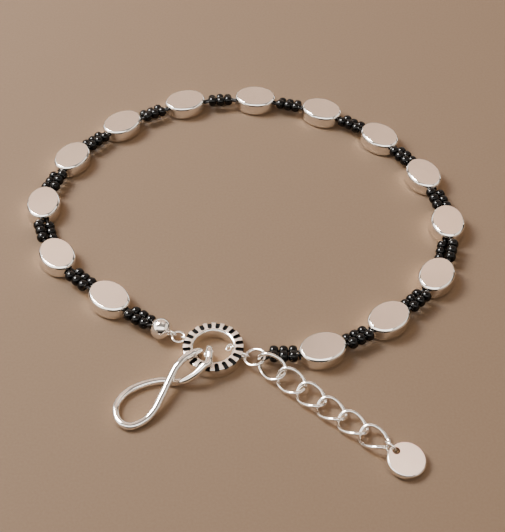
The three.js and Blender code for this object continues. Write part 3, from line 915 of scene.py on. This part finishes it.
def hook_route():
    """The hook's closed wire, as its solid has it. Outside the ring a row gives the angle round the
    ring, how far out of its edge the wire is, as a share of the hook's length, and the height."""
    radius = HOOK_WIRE / 2
    floor = radius
    over = RING_HEIGHT + CLEARANCE + radius
    cross = 3 * radius + CLEARANCE
    outwards = [
        (229.2, 0.966, floor), (232.6, 0.819, 1.1 * floor), (233.1, 0.667, 1.7 * floor),
        (230.8, 0.508, 0.78 * cross), (226.0, 0.333, cross), (219.9, 0.181, 0.88 * over),
        (217.3, 0.102, 0.96 * over), (213.8, 0.017, over),
    ]
    homewards = [
        (254.5, -0.017, over), (245.7, 0.079, 0.78 * over), (236.2, 0.175, 0.48 * over),
        (227.2, 0.237, 1.1 * floor), (217.8, 0.311, floor), (212.8, 0.429, floor),
        (210.8, 0.565, floor), (210.9, 0.706, floor), (213.5, 0.847, floor),
        (217.6, 0.944, floor), (223.7, 1, floor),
    ]
    band_middle = (RING_RADIUS + RING_HOLE_RADIUS) / 2
    bend = radius + CLEARANCE + EXTRA_PLAY
    in_hole = RING_HOLE_RADIUS - radius - CLEARANCE
    leg_in = polar(214.8, in_hole, floor + bend)
    leg_out = polar(209, in_hole - 2 * bend, floor + bend)
    inside = [
        polar(213.7, band_middle, over),
        polar(214.4, RING_HOLE_RADIUS, over),
        polar(214.8, in_hole, over - 0.75 * radius),
        leg_in,
    ]
    for share, depth in ((0.15, 0.7), (0.5, 1), (0.85, 0.7)):
        stop = leg_in.lerp(leg_out, share)
        stop.z = floor + bend * (1 - depth)
        inside.append(stop)
    inside += [
        leg_out,
        leg_out + polar(296, 0.38 * radius, 1.4 * radius),
        polar(246, 0.44 * RING_HOLE_RADIUS, over),
        polar(256, 0.675 * RING_HOLE_RADIUS, over + CLEARANCE),
        polar(260.4, RING_HOLE_RADIUS, over),
        polar(260.2, band_middle, over),
    ]
    beyond = [
        [polar(angle, RING_RADIUS + out * HOOK_LENGTH, height) for angle, out, height in rows]
        for rows in (outwards, homewards)
    ]
    return smooth_route(beyond[0] + inside + beyond[1], steps=8, closed=True)


def add_hook():
    name = "figure_eight_hook_wire"
    mesh = wire(name, hook_route(), HOOK_WIRE / 2, sides=24, closed=True, materials=[POLISHED])
    add_piece(name, mesh, Matrix.Translation(ring_middle()), "figure_eight_hook")


# Chain

def add_chain(steps=96):
    """Twisted oval curb links: each link's wire rises and dips twice on its way round."""
    route = []
    for i in range(steps):
        a = 2 * math.pi * i / steps
        x = (LINK_LENGTH - LINK_WIRE) / 2 * math.cos(a)
        y = (LINK_WIDTH - LINK_WIRE) / 2 * math.sin(a)
        route.append(Vector((x, y, -LINK_TWIST * math.sin(2 * a))))
    link = wire("chain_link", route, LINK_WIRE / 2, sides=16, closed=True, materials=[POLISHED])
    for node in sorted(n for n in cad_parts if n.startswith("chain_link")):
        points = corners(node)
        longest, next_longest, least = spread_axes(points)
        place = placed(Vector(points.mean(axis=0)), longest, least)
        add_piece(f"{node}_wire", link, place, node)


# Tag

def disc_ring(inset, height, sides=112):
    return [polar(360 * j / sides, TAG_DIAMETER / 2 - inset, height) for j in range(sides)]


def add_tag():
    """The tag disc, drilled at the side towards its jump ring."""
    node = "tag_disc"
    points = corners(node)
    axis = spread_axes(points)[2]
    if axis.z < 0:
        axis = -axis
    away = box_middle(node) - box_middle("tag_jump_ring")
    away = (away - away.dot(axis) * axis).normalized()
    centre = Vector()
    for direction in (away, axis.cross(away), axis):
        reach = points @ np.array(direction)
        centre += float(reach.min() + reach.max()) / 2 * direction
    disc = tablet("tag_disc_body", disc_ring, TAG_THICKNESS, TAG_SHOULDER)
    drill = wire("drill", [-TAG_THICKNESS * UP, TAG_THICKNESS * UP], TAG_HOLE / 2, sides=48)
    hole_at = -(TAG_DIAMETER / 2 - TAG_RIM - TAG_HOLE / 2)
    disc = crisp(cut(disc, moved(drill, Matrix.Translation((hole_at, 0, 0)))))
    add_piece("tag_disc_body", disc, placed(centre, away, axis), node)


# Stage, lights and camera

def add_floor():
    points = [FLOOR_HALF * Vector((x, y, 0)) for x, y in ((-1, -1), (1, -1), (1, 1), (-1, 1))]
    material, tree, shader = new_material("floor")
    grain = noise(tree, 0.5 * MM, detail=4)
    tree.links.new(two_tone(tree, grain, *FLOOR_TONES), shader.inputs["Base Color"])
    shader.inputs["Roughness"].default_value = FLOOR_ROUGHNESS
    floor = bpy.data.objects.new("floor", new_mesh("floor", points, [(0, 1, 2, 3)], material))
    bpy.context.scene.collection.objects.link(floor)


def add_light(name, direction, distance, size, radiance, colour, lights=True, mirrored=True):
    """A soft rectangular light in a direction from the anklet, as bright as the given radiance. It can
    be a lamp that nothing mirrors, or a bright card that is only seen mirrored in the pieces."""
    data = bpy.data.lights.new(name, "AREA")
    data.shape = "RECTANGLE"
    data.size, data.size_y = size
    data.energy = radiance * math.pi * size[0] * size[1]
    data.color = colour
    light = bpy.data.objects.new(name, data)
    bpy.context.scene.collection.objects.link(light)
    light.location = Vector(direction).normalized() * distance
    light.rotation_mode = "QUATERNION"
    light.rotation_quaternion = Vector(direction).to_track_quat("Z", "Y")
    light.visible_camera = False
    light.visible_diffuse = lights
    light.visible_glossy = mirrored


def add_sky():
    """A world that is dark at the horizon and soft and warm above."""
    world = bpy.data.worlds.new("studio")
    world.use_nodes = True
    tree = world.node_tree
    place = tree.nodes.new("ShaderNodeTexCoord")
    parts = tree.nodes.new("ShaderNodeSeparateXYZ")
    rise = tree.nodes.new("ShaderNodeMapRange")
    for socket, value in SKY_RISE.items():
        rise.inputs[socket].default_value = value
    background = tree.nodes["Background"]
    background.inputs["Color"].default_value = SKY_COLOUR
    tree.links.new(place.outputs["Generated"], parts.inputs["Vector"])
    tree.links.new(parts.outputs["Z"], rise.inputs["Value"])
    tree.links.new(rise.outputs["Result"], background.inputs["Strength"])
    bpy.context.scene.world = world


def add_studio():
    add_light("key", *KEY, mirrored=False)
    for name, card in CARDS.items():
        add_light(name, *card, lights=False)
    for name, lamp in BACK_LAMPS.items():
        add_light(name, *lamp)


def add_camera():
    data = bpy.data.cameras.new("camera")
    data.lens = CAMERA_LENS
    data.sensor_width = SENSOR
    data.clip_start = CLIP_NEAR
    data.clip_end = CLIP_FAR
    camera = bpy.data.objects.new("camera", data)
    bpy.context.scene.collection.objects.link(camera)
    camera.location = CAMERA_PLACE
    camera.rotation_mode = "QUATERNION"
    camera.rotation_quaternion = (CAMERA_TARGET - CAMERA_PLACE).to_track_quat("-Z", "Y")
    bpy.context.scene.camera = camera


add_camera()
add_floor()
add_sky()
add_studio()
add_ovals()
add_strand()
add_end_bead()
add_clasp_jump_rings()
add_notched_ring()
add_hook()
add_chain()
add_jump_ring("tag_jump_ring", TAG_JUMP_DIAMETER, TAG_JUMP_WIRE, slit_toward=-UP)
add_tag()
